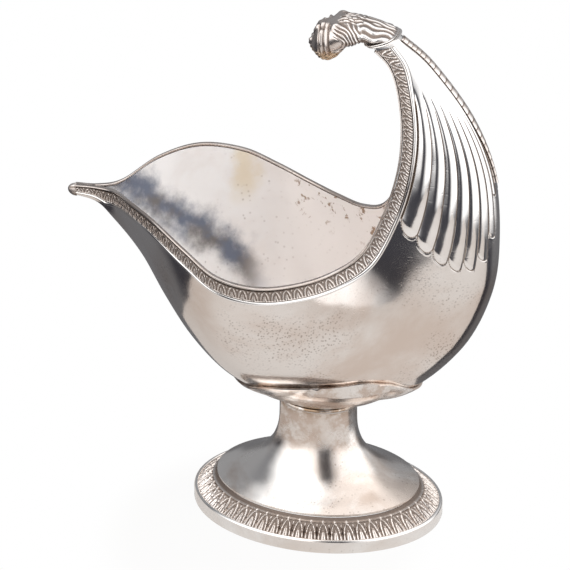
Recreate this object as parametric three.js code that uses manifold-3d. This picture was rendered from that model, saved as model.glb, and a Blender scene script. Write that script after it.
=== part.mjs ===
// Silver sauce boat: a shell-shaped bowl whose lobed back rises and curls into the handle,
// ends in a cast animal head, and stands on an oval trumpet foot.
// Millimetres, +Z up. The spout points along -X, the lobed back along +X.

import * as THREE from 'three';
import { LoftGeometry } from 'three/addons/geometries/LoftGeometry.js';
import { mergeVertices } from 'three/addons/utils/BufferGeometryUtils.js';
import Module from 'manifold-3d';

const wasm = await Module();
wasm.setup();

// Driving dimensions of the bowl and handle
const BOWL_LENGTH = 173.4;
const BOWL_HEIGHT = 159.3;
const BOWL_WIDTH = 94.8;
const SHEET = 1;
const BAND_WIDTH = 7.6;
const BAND_RELIEF = 0.7;
const LEAF_PITCH = 4.2;
const LOBES_PER_SIDE = 8;
const LOBE_RISE = 0.12;
const HEAD_LENGTH = 22;

// Driving dimensions of the foot
const FOOT_LENGTH = 102.6;
const FOOT_WIDTH = 73.6;
const FOOT_HEIGHT = 54.3;
const WALL_HEIGHT = 4.2;
const SPOUT_TO_FOOT_AXIS = 102.3;

// Clearances and small shared sizes
const GAP = 0.3;
const CAP_HEIGHT = 1;
const WIRE_WIDTH = 1.6;

// Guide outline of the bowl from the spout tip, under the bowl and up the back to the collar.
// Each row: rim along and up, half width at the rim, keel along and up, as shares of
// BOWL_LENGTH, BOWL_HEIGHT and half of BOWL_WIDTH.
const GUIDE = [
  [0.012, 0.498, 0.020, 0.012, 0.469],
  [0.070, 0.501, 0.025, 0.068, 0.455],
  [0.121, 0.509, 0.106, 0.110, 0.411],
  [0.183, 0.536, 0.422, 0.189, 0.314],
  [0.259, 0.540, 0.700, 0.253, 0.213],
  [0.346, 0.507, 0.911, 0.323, 0.124],
  [0.423, 0.461, 1.000, 0.413, 0.044],
  [0.505, 0.433, 0.939, 0.509, 0.001],
  [0.582, 0.427, 0.789, 0.649, 0.007],
  [0.655, 0.439, 0.595, 0.798, 0.035],
  [0.715, 0.482, 0.437, 0.923, 0.170],
  [0.761, 0.593, 0.373, 0.987, 0.333],
  [0.787, 0.704, 0.354, 1.000, 0.488],
  [0.790, 0.803, 0.304, 0.984, 0.662],
  [0.776, 0.892, 0.241, 0.929, 0.807],
  [0.753, 0.946, 0.186, 0.838, 0.937],
  [0.716, 0.980, 0.152, 0.767, 1.000],
];
const LAST = GUIDE.length - 1;

// Stations along the guide where the named features begin and end
const LOBES_END = 10.96;
const LOBES_START = 14.5;
const SPINE_FROM = 12.9;
const THROAT_FROM = 14.7;

const along = (share) => share * BOWL_LENGTH - SPOUT_TO_FOOT_AXIS;
const up = (share) => FOOT_HEIGHT + share * BOWL_HEIGHT;
const guideCurve = (points) => new THREE.CatmullRomCurve3(points, false, 'catmullrom', 0.5);

const rimCurve = guideCurve(GUIDE.map(([x, z, w]) =>
  new THREE.Vector3(along(x), w * BOWL_WIDTH / 2, up(z))));
const keelCurve = guideCurve(GUIDE.map(([, , , x, z]) =>
  new THREE.Vector3(along(x), 0, up(z))));

const smooth = (from, to, value) => THREE.MathUtils.smoothstep(value, from, to);
const lerp = THREE.MathUtils.lerp;

// One cross-section of the bowl lies in a plane through the rim, the keel and the Y axis.
// It is a superellipse, sharper at the spout and round from the middle of the bowl on.
// inset draws it inwards, for the inner face of the sheet.
const SECTION_STEPS = 72;

function section(station, inset = 0) {
  const t = THREE.MathUtils.clamp(station / LAST, 0, 1);
  const rim = rimCurve.getPoint(t);
  const keel = keelCurve.getPoint(t);
  const half = rim.y;
  rim.y = 0;
  const down = keel.clone().sub(rim);
  const tipFill = lerp(0.2, 1, smooth(0, 2.5, station));
  const depth = Math.max(down.length() - inset, 0.3) * (inset > 0 ? tipFill : 1);
  down.normalize();
  const width = Math.max(half - inset, 0.3 * half);
  const power = 2 / lerp(1.5, 2, smooth(2, 6.5, station));
  const table = [];
  let run = 0;
  for (let i = 0; i <= SECTION_STEPS; i++) {
    const angle = i / SECTION_STEPS * Math.PI / 2;
    const out = width * Math.cos(angle) ** power;
    const deep = depth * Math.sin(angle) ** power;
    if (i > 0) run += Math.hypot(out - table[i - 1].out, deep - table[i - 1].deep);
    table.push({ out, deep, run });
  }
  table[SECTION_STEPS].out = 0;
  return { rim, down, table, length: run };
}

// Point of a cross-section at a distance from the rim, lifted off the skin.
// side is -1 for the near half and +1 for the far half.
function onSection(cut, distance, lift = 0, side = -1) {
  const { table, rim, down } = cut;
  let i = 1;
  while (i < table.length - 1 && table[i].run < distance) i++;
  const a = table[i - 1];
  const b = table[i];
  const share = (distance - a.run) / Math.max(b.run - a.run, 1e-6);
  const step = Math.hypot(b.out - a.out, b.deep - a.deep);
  const normalOut = (b.deep - a.deep) / step;
  const normalDeep = -(b.out - a.out) / step;
  const atKeel = distance >= cut.length - 1e-6;
  const out = atKeel ? 0 : lerp(a.out, b.out, share) + lift * normalOut;
  const deep = atKeel ? b.deep + lift : lerp(a.deep, b.deep, share) + lift * normalDeep;
  const point = rim.clone().addScaledVector(down, deep);
  point.y = side * Math.max(out, atKeel ? 0 : GAP / 2 + 0.05);
  return point;
}

const bandScale = (cut) => Math.min(1, cut.length / 11);

// A closed solid lofted through ring sections, turned so that its faces point outwards
function sweptVolume(sections) {
  const rings = sections.map((ring) => {
    const centre = new THREE.Vector3();
    const area = new THREE.Vector3();
    ring.forEach((point, i) => {
      centre.addScaledVector(point, 1 / ring.length);
      area.add(point.clone().cross(ring[(i + 1) % ring.length]));
    });
    return { centre, area };
  });
  let volume = 0;
  for (let i = 1; i < rings.length; i++) {
    const step = rings[i].centre.clone().sub(rings[i - 1].centre);
    volume += step.dot(rings[i].area) + step.dot(rings[i - 1].area);
  }
  return volume;
}

function loft(sections, capped = true) {
  const outward = sweptVolume(sections) > 0;
  const rings = outward ? sections : sections.map((ring) => [...ring].reverse());
  return new LoftGeometry(rings, { capStart: capped, capEnd: capped });
}

const spread = (from, to, count) =>
  Array.from({ length: count }, (_, i) => lerp(from, to, i / (count - 1)));

// Joining and cutting of closed solids
function toSolid(geometry) {
  const plain = new THREE.BufferGeometry().copy(geometry);
  plain.deleteAttribute('normal');
  plain.deleteAttribute('uv');
  const merged = mergeVertices(plain, 1e-4);
  return new wasm.Manifold(new wasm.Mesh({
    numProp: 3,
    vertProperties: new Float32Array(merged.getAttribute('position').array),
    triVerts: new Uint32Array(merged.getIndex().array),
  }));
}

function toGeometry(solid) {
  const mesh = solid.getMesh();
  const geometry = new THREE.BufferGeometry();
  geometry.setAttribute('position', new THREE.BufferAttribute(mesh.vertProperties, 3));
  geometry.setIndex(new THREE.BufferAttribute(mesh.triVerts, 1));
  geometry.computeVertexNormals();
  return geometry;
}

// Silver in the states that the piece shows: polished, frosted, tarnished in the relief
const silver = (color, roughness) =>
  new THREE.MeshStandardMaterial({ color, roughness, metalness: 1 });
const polishedSilver = () => silver('#cfcac4', 0.22);
const frostedSilver = () => silver('#c9c0b8', 0.38);
const tarnishedSilver = () => silver('#8d8078', 0.42);
const castSilver = () => silver('#a39a93', 0.36);

const group = new THREE.Group();

function addPiece(name, geometry, material) {
  const mesh = new THREE.Mesh(geometry, material);
  mesh.name = name;
  group.add(mesh);
  return mesh;
}

// Bowl with its lobed back. Raised lobes run down from the neck between thin grooves, and
// each ends in a half round. The lobes by the rim are the widest and reach lowest.
const LOBE_STEPS = 3;
const LOBE_SPREAD = 1.45;
const END_CLIMB = 1.75;
const SPINE_HALF = 2.2;
const STATION_LENGTH = 22;

const lobeEdge = (lobe) => 1 - (1 - lobe / LOBES_PER_SIDE) ** LOBE_SPREAD;

// Height of a lobe over the sheet: a share of its width at the crown, none at its edges
function lobeHeight(station, lobe, across, width) {
  const off = 2 * across - 1;
  const round = (1 - Math.sqrt(Math.max(0, 1 - off * off))) * width / 2 / STATION_LENGTH;
  const end = LOBES_END + END_CLIMB * (lobe / (LOBES_PER_SIDE - 1)) ** 3 + round;
  const fade = smooth(end - 0.01, end + 0.12, station)
    * (1 - smooth(LOBES_START - 0.8, LOBES_START, station));
  return LOBE_RISE * width * (1 - off * off) * fade;
}

function bowlSection(station) {
  const outer = section(station);
  const inner = section(station, SHEET);
  const first = CAP_HEIGHT * bandScale(outer);
  const bandEnd = (BAND_WIDTH + 0.4) * bandScale(outer);
  const spineEdge = outer.length - SPINE_HALF * bandScale(outer);
  const columns = [{ distance: first, height: 0 }];
  for (let lobe = 0; lobe < LOBES_PER_SIDE; lobe++) {
    const from = lerp(bandEnd, spineEdge, lobeEdge(lobe));
    const width = lerp(bandEnd, spineEdge, lobeEdge(lobe + 1)) - from;
    for (let step = 0; step < LOBE_STEPS; step++) {
      const across = step / LOBE_STEPS;
      const height = lobeHeight(station, lobe, across, width);
      columns.push({ distance: from + across * width, height });
    }
  }
  columns.push({ distance: spineEdge, height: 0 });
  const even = 1 - smooth(1, 7, station);
  columns.forEach((column, i) => {
    const share = (i + 0.5) / (columns.length + 0.5);
    column.distance = lerp(column.distance, lerp(first, outer.length, share), i > 0 ? even : 0);
  });
  const near = columns.map(({ distance, height }) => onSection(outer, distance, height, -1));
  const far = columns.map(({ distance, height }) => onSection(outer, distance, height, 1));
  const innerFirst = Math.min(first, inner.length / 2);
  const innerSteps = spread(innerFirst, inner.length, 7);
  const innerNear = innerSteps.map((distance) => onSection(inner, distance, 0, -1));
  const innerFar = innerSteps.slice(0, -1).map((distance) => onSection(inner, distance, 0, 1));
  return [
    ...near, onSection(outer, outer.length), ...far.reverse(),
    ...innerFar, ...innerNear.reverse(),
  ];
}

// Stations spaced evenly along the rim, for what repeats at a real pitch
const rimLength = rimCurve.getLength();

function rimStations(count, from = 0, to = 1) {
  return spread(from, to, count).map((share) => rimCurve.getUtoTmapping(share) * LAST);
}

// Stations of the sheet, shared by the plain mouldings on it: close together where
// the spout opens out and where the lobes end in their half rounds
const SHELL_STATIONS = [
  ...spread(0, 4.2, 15),
  ...spread(4.8, 8.4, 6),
  ...spread(8.9, LOBES_END - 0.5, 6),
  ...spread(LOBES_END - 0.15, LOBES_END + 0.9, 7),
  ...spread(LOBES_END + 1.2, LAST, 10),
];

function bowlShell() {
  return loft(SHELL_STATIONS.map(bowlSection));
}

// The mouldings stop just short of the sheet's two ends
const MOULDING_STATIONS = [0.06, ...SHELL_STATIONS.slice(1, -1), LAST - 0.06];

// Leaf-and-dart strip below the rim: every leaf stands proud and narrows to its tip
function rimFrieze(side) {
  const leaves = Math.round(rimLength / LEAF_PITCH);
  const stations = rimStations(2 * leaves + 1, 0.004, 0.996);
  return loft(stations.map((station, i) => {
    const cut = section(station);
    const scale = bandScale(cut);
    const leaf = i % 2 === 1;
    const top = CAP_HEIGHT * scale + GAP;
    const tip = (BAND_WIDTH - WIRE_WIDTH) * scale - 1.5 * GAP;
    const low = GAP + 0.45 * BAND_RELIEF;
    const high = GAP + BAND_RELIEF;
    return [
      onSection(cut, top, GAP, side),
      onSection(cut, top, leaf ? high : low, side),
      onSection(cut, tip, low, side),
      onSection(cut, tip, GAP, side),
    ];
  }));
}

// Plain half-round moulding over the top edge of the sheet and the frieze
function rimMoulding(side) {
  return loft(MOULDING_STATIONS.map((station) => {
    const cut = section(station);
    const scale = bandScale(cut);
    const foot = CAP_HEIGHT * scale - GAP;
    const outside = (GAP + BAND_RELIEF + 0.1) * lerp(0.6, 1, scale);
    return [
      onSection(cut, foot, outside, side),
      onSection(cut, foot / 2, outside + 0.1, side),
      onSection(cut, 0, outside - 0.4, side),
      onSection(cut, 0, 0.4 - SHEET, side),
      onSection(cut, foot / 2, -SHEET - 0.3, side),
      onSection(cut, foot, -SHEET - 0.15, side),
    ];
  }));
}

// Bright wire along the lower edge of the frieze
function rimWire(side) {
  return loft(MOULDING_STATIONS.map((station) => {
    const cut = section(station);
    const scale = bandScale(cut);
    const from = (BAND_WIDTH - WIRE_WIDTH) * scale;
    const to = BAND_WIDTH * scale;
    return [
      onSection(cut, from, GAP, side),
      onSection(cut, from, GAP + 0.5, side),
      onSection(cut, (from + to) / 2, GAP + 0.8, side),
      onSection(cut, to, GAP + 0.5, side),
      onSection(cut, to, GAP, side),
    ];
  }));
}

// Plain rounded nose that closes the ends of the two friezes at the spout
function spoutTip() {
  const cut = section(0);
  const height = cut.length + 1.2;
  const centre = cut.rim.clone().addScaledVector(cut.down, cut.length / 2);
  const face = centre.x - GAP;
  return loft([0, 0.5, 0.85, 1].map((share) => {
    const round = Math.sqrt(1 - share ** 2) * 0.94 + 0.06;
    return spread(0, 2 * Math.PI, 13).slice(0, -1).map((angle) => new THREE.Vector3(
      face - 1.7 * share,
      2.2 * round * Math.cos(angle),
      centre.z + height / 2 * round * Math.sin(angle),
    ));
  }));
}

// Leaf strip along the spine of the back, pointed at its lower end
function spineStrip() {
  return loft(spread(SPINE_FROM, LAST - 0.06, 25).map((station, i) => {
    const cut = section(station);
    const half = lerp(0.5, SPINE_HALF - 0.3, smooth(SPINE_FROM, SPINE_FROM + 1.2, station));
    const rise = i % 2 === 1 ? 1 : 0.65;
    const edge = cut.length - half;
    return [
      onSection(cut, edge, GAP, -1),
      onSection(cut, edge, GAP + 0.5, -1),
      onSection(cut, cut.length, GAP + rise, -1),
      onSection(cut, edge, GAP + 0.5, 1),
      onSection(cut, edge, GAP, 1),
      onSection(cut, cut.length, GAP, -1),
    ];
  }));
}

// Tongue that closes the channel under the neck and runs out down the inside of the handle
const TONGUE = 2;

function throatPlate() {
  return loft(spread(THROAT_FROM, LAST - 0.03, 9).map((station) => {
    const cut = section(station, SHEET);
    const share = smooth(THROAT_FROM - 0.3, THROAT_FROM + 0.9, station);
    const half = (cut.table[0].out - 2 * GAP) * share;
    const bulge = (TONGUE + 0.8) * share;
    const across = spread(-1, 1, 9);
    const arc = (thick) => across.map((y) => {
      const point = cut.rim.clone();
      point.addScaledVector(cut.down, thick - bulge * (1 - y * y));
      point.y = half * y;
      return point;
    });
    return [...arc(0), ...arc(1).reverse()];
  }));
}

// The collar is two stacked rings between the end of the bowl and the neck. Its rings
// drift along the neck, which leans over the bowl, and overhang the bowl's end by COLLAR_LIP.
const COLLAR_HEIGHT = 3;
const COLLAR_LIP = 0.8;
const NECK_ANGLE = THREE.MathUtils.degToRad(27);
const collarFoot = rimCurve.getPoint(1).setY(0);
const collarBack = keelCurve.getPoint(1);
const collarHalf = rimCurve.getPoint(1).y + COLLAR_LIP;
const acrossCollar = collarBack.clone().sub(collarFoot).normalize();
const alongNeck = new THREE.Vector3(-Math.cos(NECK_ANGLE), 0, Math.sin(NECK_ANGLE));

// A slice of the neck: an oval that stands between its underside and its top
function neckRing(low, high, half, squareness = 2) {
  const centre = low.clone().add(high).multiplyScalar(0.5);
  const rise = high.clone().sub(centre);
  return spread(0, 2 * Math.PI, 25).slice(0, -1).map((angle) => {
    const c = Math.cos(angle);
    const s = Math.sin(angle);
    const point = centre.clone();
    point.addScaledVector(rise, Math.sign(s) * Math.abs(s) ** (2 / squareness));
    point.y = half * Math.sign(c) * Math.abs(c) ** (2 / squareness);
    return point;
  });
}

function collarRing(from, to) {
  return loft([[0, -0.5], [0.3, 0], [0.7, 0], [1, -0.5]].map(([share, swell]) => {
    const rise = lerp(from, to, share);
    const low = collarFoot.clone().addScaledVector(alongNeck, rise);
    const high = collarBack.clone().addScaledVector(alongNeck, rise);
    low.addScaledVector(acrossCollar, -swell - COLLAR_LIP - TONGUE);
    high.addScaledVector(acrossCollar, swell + COLLAR_LIP);
    return neckRing(low, high, collarHalf + swell, 2.6);
  }));
}

// A rounded lump of the casting, its radius in HEAD_LENGTHs
function ball(radius, stretch, place) {
  const geometry = new THREE.SphereGeometry(radius * HEAD_LENGTH, 10, 6);
  geometry.scale(...stretch);
  geometry.translate(place.x, place.y, place.z);
  return toSolid(geometry);
}

// Cast neck and head. Each row is a slice from the collar to the nose: underside and top
// forward of and above the middle of the collar, then the half width, in HEAD_LENGTHs.
const HEAD_SLICES = [
  [0.24, -0.07, -0.25, 0.09, 0.355],
  [0.37, -0.10, 0.05, 0.18, 0.365],
  [0.48, -0.19, 0.37, 0.26, 0.38],
  [0.60, -0.24, 0.72, 0.27, 0.39],
  [0.69, -0.35, 1.01, 0.16, 0.37],
  [0.78, -0.46, 1.17, -0.01, 0.32],
  [0.85, -0.53, 1.235, -0.30, 0.255],
  [0.92, -0.55, 1.10, -0.47, 0.145],
];

function headPoint(forward, rise, y = 0) {
  const root = collarFoot.clone().add(collarBack).multiplyScalar(0.5);
  root.addScaledVector(alongNeck, COLLAR_HEIGHT - GAP);
  root.add(new THREE.Vector3(-forward * HEAD_LENGTH, 0, rise * HEAD_LENGTH));
  return root.setY(y * HEAD_LENGTH);
}

function animalHead() {
  const slices = HEAD_SLICES.map(([lowX, lowZ, highX, highZ, half]) =>
    neckRing(headPoint(lowX, lowZ), headPoint(highX, highZ), half * HEAD_LENGTH));
  let solid = toSolid(loft(slices));
  for (const side of [-1, 1]) {
    const ear = ball(0.11, [1, 0.6, 1], headPoint(0.74, 0.20, side * 0.26));
    const brow = ball(0.075, [1, 1, 1], headPoint(1.10, 0.12, side * 0.08));
    const lock = ball(0.2, [1, 0.5, 1.1], headPoint(0.52, 0.03, side * 0.31));
    const cheek = ball(0.14, [1, 0.7, 1.2], headPoint(0.98, -0.26, side * 0.2));
    solid = solid.add(ear).add(brow).add(lock).add(cheek);
  }
  const muzzle = ball(0.14, [0.9, 1.2, 1], headPoint(1.10, -0.42));
  const chin = ball(0.1, [1, 1.1, 0.7], headPoint(0.95, -0.55));
  return toGeometry(solid.add(muzzle).add(chin));
}

// Foot. Every ring of it is an oval, drawn in from the outer edge by an inset along its
// length and a little less across it.
const INSET_ACROSS = 0.8;

function ovalRing(inset, z, count) {
  return spread(0, 2 * Math.PI, count + 1).slice(0, -1).map((angle) => new THREE.Vector3(
    (FOOT_LENGTH / 2 - inset) * Math.cos(angle),
    (FOOT_WIDTH / 2 - inset * INSET_ACROSS) * Math.sin(angle),
    z,
  ));
}

// A ring-shaped piece of the foot: profile points are insets from the edge and heights
function ovalLoop(profile, count) {
  const rings = profile.map(([inset, z]) => ovalRing(inset, z, count));
  return loft([...rings, rings[0]], false);
}

const ROLL_HEIGHT = 1.7;
const PEDESTAL_INSET = 9.7;
const EDGE_HEIGHT = 13.2;
const EDGE_THICKNESS = 1.2;
const FOOT_LEAF_SHARE = 1.33;

function footWall() {
  return ovalLoop([[0, 0], [0.2, WALL_HEIGHT], [3.2, WALL_HEIGHT], [2.6, 0]], 56);
}

function footRoll() {
  const base = WALL_HEIGHT;
  return ovalLoop([
    [0.3, base], [0, base + ROLL_HEIGHT / 2], [0.8, base + ROLL_HEIGHT],
    [2, base + ROLL_HEIGHT * 0.7], [2.1, base],
  ], 56);
}

// Leaves that lean inwards from the roll up to the groove under the pedestal's edge
function footFrieze() {
  const around = Math.PI * (FOOT_LENGTH + FOOT_WIDTH) / 2;
  const leaves = Math.round(around / (LEAF_PITCH * FOOT_LEAF_SHARE));
  const low = [2.4, WALL_HEIGHT];
  const high = [PEDESTAL_INSET - 1.2, EDGE_HEIGHT - EDGE_THICKNESS - 1.4];
  const place = (share, lift) => [
    lerp(low[0], high[0], share) - 0.7 * lift,
    lerp(low[1], high[1], share) + 0.7 * lift,
  ];
  const ringAt = ([share, leafLift, gapLift]) => {
    const leaf = ovalRing(...place(share, leafLift), 2 * leaves);
    const gap = ovalRing(...place(share, gapLift), 2 * leaves);
    return leaf.map((point, i) => (i % 2 === 0 ? point : gap[i]));
  };
  const rings = [[0, 0.05, 0.05], [0.12, 1.3, 0.5], [1, 0.5, 0.3]].map(ringAt);
  const seat = ovalRing(PEDESTAL_INSET + 0.8, EDGE_HEIGHT - EDGE_THICKNESS - GAP, 2 * leaves);
  const back = ovalRing(PEDESTAL_INSET, EDGE_HEIGHT - EDGE_THICKNESS - 3, 2 * leaves);
  return loft([...rings, seat, back, rings[0]], false);
}

// Neck and trumpet of the foot in one raised piece, open underneath.
// Each row is a height above the pedestal's edge and a share of the way in to the neck.
const NECK_LENGTH = 31.4;
const NECK_WIDTH = 22.4;
const RING_HEIGHT = 1.6;
const PLATE_BOTTOM = FOOT_HEIGHT - 3;
const NECK_TOP = PLATE_BOTTOM - RING_HEIGHT - 2 * GAP;
const TRUMPET = [
  [0, 0], [0.045, 0.13], [0.13, 0.38], [0.24, 0.62], [0.36, 0.79], [0.5, 0.91],
  [0.7, 0.985], [1, 1],
];

function pedestalRing(rise, share, inset) {
  const length = lerp(FOOT_LENGTH / 2 - PEDESTAL_INSET, NECK_LENGTH / 2, share);
  const width = lerp(FOOT_WIDTH / 2 - PEDESTAL_INSET * INSET_ACROSS, NECK_WIDTH / 2, share);
  return spread(0, 2 * Math.PI, 37).slice(0, -1).map((angle) => new THREE.Vector3(
    (length - inset) * Math.cos(angle),
    (width - inset) * Math.sin(angle),
    lerp(EDGE_HEIGHT, NECK_TOP, rise),
  ));
}

const lowered = (ring, drop) => ring.map(({ x, y, z }) => new THREE.Vector3(x, y, z - drop));

function footPedestal() {
  const outside = TRUMPET.map(([rise, share]) => pedestalRing(rise, share, 0));
  const inside = TRUMPET.slice(1, -1).reverse().map(([rise, share]) =>
    lowered(pedestalRing(rise, share, SHEET), SHEET * (1 - share)));
  const edge = lowered(outside[0], EDGE_THICKNESS);
  const lip = lowered(pedestalRing(0, 0, 2 * SHEET), EDGE_THICKNESS);
  return loft([edge, ...outside, pedestalRing(1, 1, SHEET), ...inside, lip, edge], false);
}

// Round fillet ring between the neck and the saddle plate
function stemRing() {
  const rise = (share) => 1 + (GAP + RING_HEIGHT * share) / (NECK_TOP - EDGE_HEIGHT);
  return loft([[0, -0.3], [0.25, 0.4], [0.75, 0.4], [1, -0.3]].map(([share, swell]) =>
    pedestalRing(rise(share), 1, -swell)));
}

// Cradle plate that carries the bowl: a thin sheet that hugs the bowl's underside up to a
// level edge, and a dish under its middle that flares from the neck.
const DISH_LENGTH = 82;
const DISH_WIDTH = 53;
const DISH_SQUARE = 0.9;
const PLATE_REACH = 19;
const PLATE_SHEET = 1.4;

// The dish: heights over its foot, and shares of the way from the neck out to its oval.
// DISH_SQUARE below 1 fills out that oval.
const DISH = [
  [0, 0], [2.1, 0.02], [2.6, 0.12], [3.4, 0.3], [5.6, 0.48], [8.4, 0.64], [11.5, 0.78],
  [14.5, 0.88], [18, 0.94],
];

function dishRing(rise, share) {
  const filled = (value) => Math.sign(value) * Math.abs(value) ** lerp(1, DISH_SQUARE, share);
  return spread(0, 2 * Math.PI, 45).slice(0, -1).map((angle) => {
    const c = filled(Math.cos(angle));
    const s = filled(Math.sin(angle));
    const x = lerp(NECK_LENGTH / 2, DISH_LENGTH / 2, share) * c;
    const y = lerp(NECK_WIDTH / 2, DISH_WIDTH / 2, share) * s;
    return new THREE.Vector3(x, y, PLATE_BOTTOM + rise);
  });
}

// The column that cuts the sheet level is wider than the bowl's underside at that height
const COLUMN_SHARE = 1.5;

// The space that the bowl's underside takes, with clearance, as a closed solid
function bowlEnvelope(clearance) {
  return toSolid(loft(spread(4, 10.4, 27).map((station) => {
    const cut = section(station);
    const steps = spread(cut.length * 0.25, cut.length, 16);
    const near = steps.map((distance) => onSection(cut, distance, clearance, -1));
    const far = steps.slice(0, -1).map((distance) => onSection(cut, distance, clearance, 1));
    return [...near, ...far.reverse()];
  })));
}

function saddlePlate() {
  const column = toSolid(loft([dishRing(0, COLUMN_SHARE), dishRing(PLATE_REACH, COLUMN_SHARE)]));
  const sheet = column.intersect(bowlEnvelope(GAP + PLATE_SHEET));
  const flare = toSolid(loft(DISH.map(([rise, share]) => dishRing(rise, share))));
  return toGeometry(sheet.add(flare).subtract(bowlEnvelope(GAP)));
}

addPiece('foot_wall', footWall(), polishedSilver());
addPiece('foot_bead_roll', footRoll(), polishedSilver());
addPiece('foot_leaf_frieze', footFrieze(), tarnishedSilver());
addPiece('foot_pedestal', footPedestal(), polishedSilver());
addPiece('stem_ring', stemRing(), polishedSilver());
addPiece('saddle_plate', saddlePlate(), polishedSilver());
addPiece('bowl_shell', bowlShell(), frostedSilver());
for (const [name, side] of [['near', -1], ['far', 1]]) {
  addPiece(`rim_frieze_${name}`, rimFrieze(side), tarnishedSilver());
  addPiece(`rim_moulding_${name}`, rimMoulding(side), polishedSilver());
  addPiece(`rim_wire_${name}`, rimWire(side), polishedSilver());
}
addPiece('spout_tip', spoutTip(), polishedSilver());
addPiece('spine_strip', spineStrip(), tarnishedSilver());
addPiece('throat_plate', throatPlate(), polishedSilver());
const ringSplit = COLLAR_HEIGHT / 2;
const ringTop = COLLAR_HEIGHT - 2 * GAP;
addPiece('collar_ring_lower', collarRing(GAP, ringSplit - GAP / 2), polishedSilver());
addPiece('collar_ring_upper', collarRing(ringSplit + GAP / 2, ringTop), polishedSilver());
addPiece('animal_head', animalHead(), castSilver());

// The frame's origin is on the table, under the middle of the whole piece
const bounds = new THREE.Box3().setFromObject(group);
group.position.x = -(bounds.min.x + bounds.max.x) / 2;
group.position.y = -(bounds.min.y + bounds.max.y) / 2;

export default group;
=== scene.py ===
"""Looks for the silver sauce boat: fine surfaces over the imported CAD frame, silver in
several states of wear, and a pale studio. Shapes are worked out in millimetres, materials
and the studio in metres."""

import math

import bpy
import numpy as np
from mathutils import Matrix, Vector


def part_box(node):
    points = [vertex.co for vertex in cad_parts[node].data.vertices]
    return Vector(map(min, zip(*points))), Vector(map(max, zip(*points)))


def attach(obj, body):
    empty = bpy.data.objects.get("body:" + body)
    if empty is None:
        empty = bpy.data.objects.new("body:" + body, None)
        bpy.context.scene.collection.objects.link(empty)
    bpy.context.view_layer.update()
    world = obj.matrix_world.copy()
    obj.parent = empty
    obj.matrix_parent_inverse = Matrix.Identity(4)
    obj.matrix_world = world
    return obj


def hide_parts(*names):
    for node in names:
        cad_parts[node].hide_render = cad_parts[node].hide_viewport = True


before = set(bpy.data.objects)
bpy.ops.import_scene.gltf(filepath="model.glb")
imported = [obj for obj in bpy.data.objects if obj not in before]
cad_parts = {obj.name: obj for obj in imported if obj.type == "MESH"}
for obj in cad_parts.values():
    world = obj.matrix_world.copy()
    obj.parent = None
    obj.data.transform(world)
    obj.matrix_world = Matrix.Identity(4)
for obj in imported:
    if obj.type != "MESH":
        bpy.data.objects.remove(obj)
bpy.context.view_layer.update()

# Shared sizes, the same as in the solids
BOWL_LENGTH, BOWL_HEIGHT, BOWL_WIDTH = 173.4, 159.3, 94.8
FOOT_LENGTH, FOOT_WIDTH, FOOT_HEIGHT = 102.6, 73.6, 54.3
SPOUT_TO_FOOT_AXIS = 102.3
SHEET, BAND_WIDTH, CAP_HEIGHT, WIRE_WIDTH = 1.0, 7.6, 1.0, 1.6
LEAF_PITCH, FOOT_LEAF_PITCH = 4.2, 5.586
# Lobes on each side of the back: how many, their rise as a share of their width, how much
# wider they are by the rim, and how many stations their lower ends climb towards the spine
LOBES, LOBE_RISE, LOBE_SPREAD, END_CLIMB = 8, 0.12, 1.45, 1.75
# Stations are places along the rows of GUIDE, from 0 at the spout: the lobes' lower and upper
# ends, and where the spine strip and the tongue under the neck start
LOBES_END, LOBES_START, SPINE_FROM, THROAT_FROM = 10.96, 14.5, 12.9, 14.7
SPINE_HALF = 2.2
# The bowl's guide: X and height of the rim, width, X and height of the keel, as shares of the
# bowl's length, height and width
GUIDE = np.array([
    [0.012, 0.498, 0.020, 0.012, 0.469], [0.070, 0.501, 0.025, 0.068, 0.455],
    [0.121, 0.509, 0.106, 0.110, 0.411], [0.183, 0.536, 0.422, 0.189, 0.314],
    [0.259, 0.540, 0.700, 0.253, 0.213], [0.346, 0.507, 0.911, 0.323, 0.124],
    [0.423, 0.461, 1.000, 0.413, 0.044], [0.505, 0.433, 0.939, 0.509, 0.001],
    [0.582, 0.427, 0.789, 0.649, 0.007], [0.655, 0.439, 0.595, 0.798, 0.035],
    [0.715, 0.482, 0.437, 0.923, 0.170], [0.761, 0.593, 0.373, 0.987, 0.333],
    [0.787, 0.704, 0.354, 1.000, 0.488], [0.790, 0.803, 0.304, 0.984, 0.662],
    [0.776, 0.892, 0.241, 0.929, 0.807], [0.753, 0.946, 0.186, 0.838, 0.937],
    [0.716, 0.980, 0.152, 0.767, 1.000],
])
LAST = len(GUIDE) - 1
SECTION_POINTS = 140
# Half length of a section from which the border strip has its full width
FULL_BAND_FROM = 11.0
# Points of a leaf along the rim and along the foot
RIM_LEAF_STEPS, FOOT_LEAF_STEPS = 14, 24
# Shapes are worked out with the foot's axis at X = 0, and SHIFT is that axis's X in the frame
foot_low, foot_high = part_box("foot_wall")
SHIFT = (foot_low[0] + foot_high[0]) / 2 * 1000


def lerp(a, b, share):
    return a + (b - a) * share


def smooth(start, end, value):
    """Smooth step: 3 s^2 - 2 s^3, with s the share of the way from start to end."""
    share = np.clip((value - start) / (end - start), 0, 1)
    return share * share * (3 - 2 * share)


def bump(value, width):
    """A rounded ridge: 1 at value 0, falling off over width."""
    return np.exp(-((value / width) ** 2))


def catmull(points, t):
    """Uniform Catmull-Rom curve through the rows of points, read at row positions t."""
    padded = np.vstack([2 * points[0] - points[1], points, 2 * points[-1] - points[-2]])
    t = np.clip(t, 0, len(points) - 1)
    i = np.minimum(t.astype(int), len(points) - 2)
    f = (t - i)[..., None]
    a, b, c, d = padded[i], padded[i + 1], padded[i + 2], padded[i + 3]
    return 0.5 * (2 * b + (c - a) * f + (2 * a - 5 * b + 4 * c - d) * f**2
                  + (3 * b - a - 3 * c + d) * f**3)


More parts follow.
